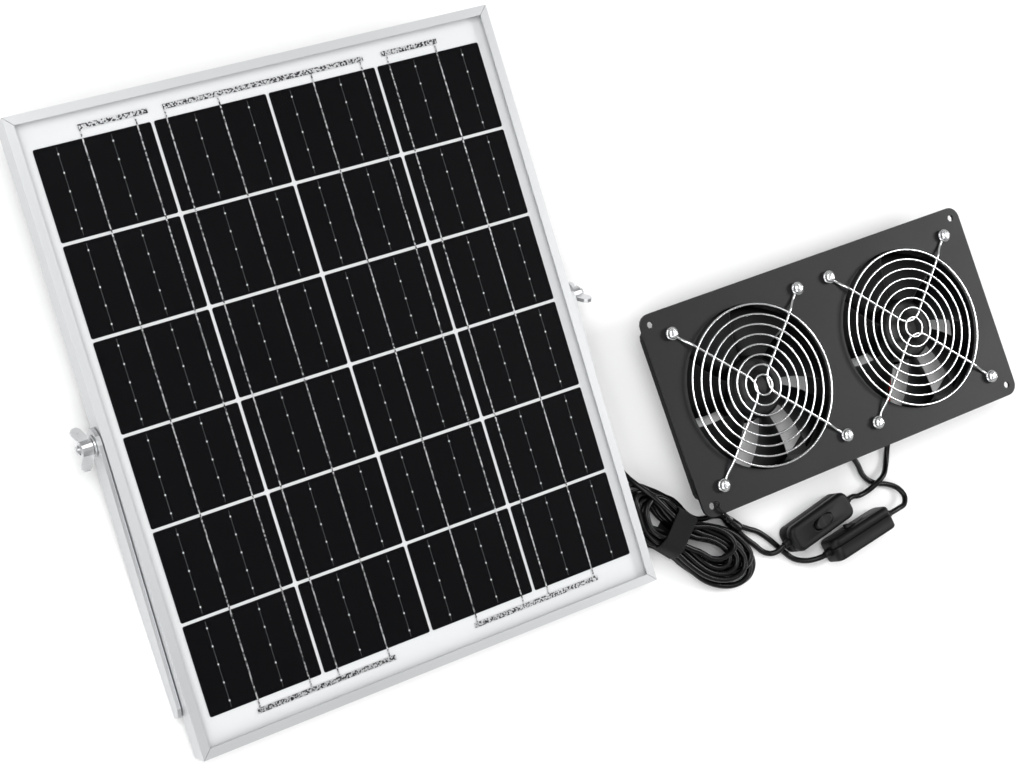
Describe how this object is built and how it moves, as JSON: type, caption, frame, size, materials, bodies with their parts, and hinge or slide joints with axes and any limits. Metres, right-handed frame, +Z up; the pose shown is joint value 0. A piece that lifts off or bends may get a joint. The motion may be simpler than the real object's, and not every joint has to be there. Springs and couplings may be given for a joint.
{
  "type": "solar attic fan",
  "caption": "Framed solar panel with a fold-out bracket, leads with inline switches, and a plate carrying two guarded axial fans, laid out flat.",
  "frame": {"origin": "bottom centre of the rigid parts' bounding box, on the surface they lie on", "axes": "+X from the solar panel towards the fans, +Y towards the panel's top edge, +Z up"},
  "size_m": [0.6542, 0.4196, 0.041],
  "materials": {
    "frame_aluminium": "pale silver anodised, satin",
    "solar_glass": "clear low-iron glass",
    "solar_cell": "near-black monocrystalline cells under glass",
    "backsheet_white": "white laminate backsheet",
    "junction_plastic": "fine moulded texture",
    "terminal_brass": "turned",
    "bracket_aluminium": "satin",
    "zinc_steel": "bright zinc",
    "fan_plastic": "glossy moulded black",
    "winding": "enamelled copper",
    "guard_chrome": "bright plated wire",
    "wire_red": "insulated wire",
    "plate_coat": "matt charcoal powder coat",
    "switch_plastic": "fine moulded texture",
    "cable_jacket": "semi-gloss jacket",
    "tie_fabric": "woven hook-and-loop strap"
  },
  "bodies": {
    "base": {"frame_bottom": "frame_aluminium", "frame_right": "frame_aluminium", "frame_top": "frame_aluminium", "frame_left": "frame_aluminium", "solar_glass": "solar_glass", "cell_layer": "solar_cell", "backsheet": "backsheet_white", "junction_box_base": "junction_plastic", "junction_box_lid": "junction_plastic", "cable_gland": "junction_plastic", "terminal_block": "terminal_brass", "left_pivot_bolt": "zinc_steel", "left_washer": "zinc_steel", "left_fan_frame": "fan_plastic", "left_bearing": "terminal_brass", "left_stator": "winding", "left_guard": "guard_chrome", "left_guard_screw_1": "guard_chrome", "left_guard_screw_2": "guard_chrome", "left_guard_screw_3": "guard_chrome", "left_guard_screw_4": "guard_chrome", "left_fan_wires": "wire_red", "right_pivot_bolt": "zinc_steel", "right_washer": "zinc_steel", "right_fan_frame": "fan_plastic", "right_bearing": "terminal_brass", "right_stator": "winding", "right_guard": "guard_chrome", "right_guard_screw_1": "guard_chrome", "right_guard_screw_2": "guard_chrome", "right_guard_screw_3": "guard_chrome", "right_guard_screw_4": "guard_chrome", "right_fan_wires": "wire_red", "mounting_plate": "plate_coat", "rear_switch_base": "switch_plastic", "rear_switch_cover": "switch_plastic", "front_switch_base": "switch_plastic", "front_switch_cover": "switch_plastic", "lead_left_out": "cable_jacket", "lead_right_out": "cable_jacket", "lead_left_in": "cable_jacket", "lead_right_in": "cable_jacket", "trunk_to_hank": "cable_jacket", "trunk_tail": "cable_jacket", "cable_hank": "cable_jacket", "splice_sleeve": "cable_jacket", "hank_tie": "tie_fabric"},
    "bracket": {"left_arm": "bracket_aluminium", "right_arm": "bracket_aluminium", "cross_bar": "bracket_aluminium"},
    "left_wing_nut": {"left_wing_nut": "zinc_steel"},
    "right_wing_nut": {"right_wing_nut": "zinc_steel"},
    "left_rotor": {"left_rotor": "fan_plastic"},
    "right_rotor": {"right_rotor": "fan_plastic"},
    "rear_rocker": {"rear_switch_rocker": "switch_plastic"},
    "front_rocker": {"front_switch_rocker": "switch_plastic"}
  },
  "joints": [
    {"name": "bracket_hinge", "type": "hinge", "parent": "base", "child": "bracket", "pos_m": [-0.15407, 0.00014, 0.01981], "axis": [1, 0, 0], "range_deg": [0, 85]},
    {"name": "left_wing_nut_turn", "type": "hinge", "parent": "base", "child": "left_wing_nut", "pos_m": [-0.32107, 0.00014, 0.01981], "axis": [-1, 0, 0], "continuous": true},
    {"name": "right_wing_nut_turn", "type": "hinge", "parent": "base", "child": "right_wing_nut", "pos_m": [0.01293, 0.00014, 0.01981], "axis": [1, 0, 0], "continuous": true},
    {"name": "left_rotor_spin", "type": "hinge", "parent": "base", "child": "left_rotor", "pos_m": [0.12109, -0.09583, 0.014], "axis": [0, 0, 1], "continuous": true},
    {"name": "right_rotor_spin", "type": "hinge", "parent": "base", "child": "right_rotor", "pos_m": [0.25377, -0.09335, 0.014], "axis": [0, 0, 1], "continuous": true},
    {"name": "rear_rocker_tilt", "type": "hinge", "parent": "base", "child": "rear_rocker", "pos_m": [0.14343, -0.19789, 0.0132], "axis": [0.2079, -0.9781, 0], "range_deg": [0, 16]},
    {"name": "front_rocker_tilt", "type": "hinge", "parent": "base", "child": "front_rocker", "pos_m": [0.17062, -0.21066, 0.0095], "axis": [0, 0, 1], "range_deg": [0, 16]}
  ]
}
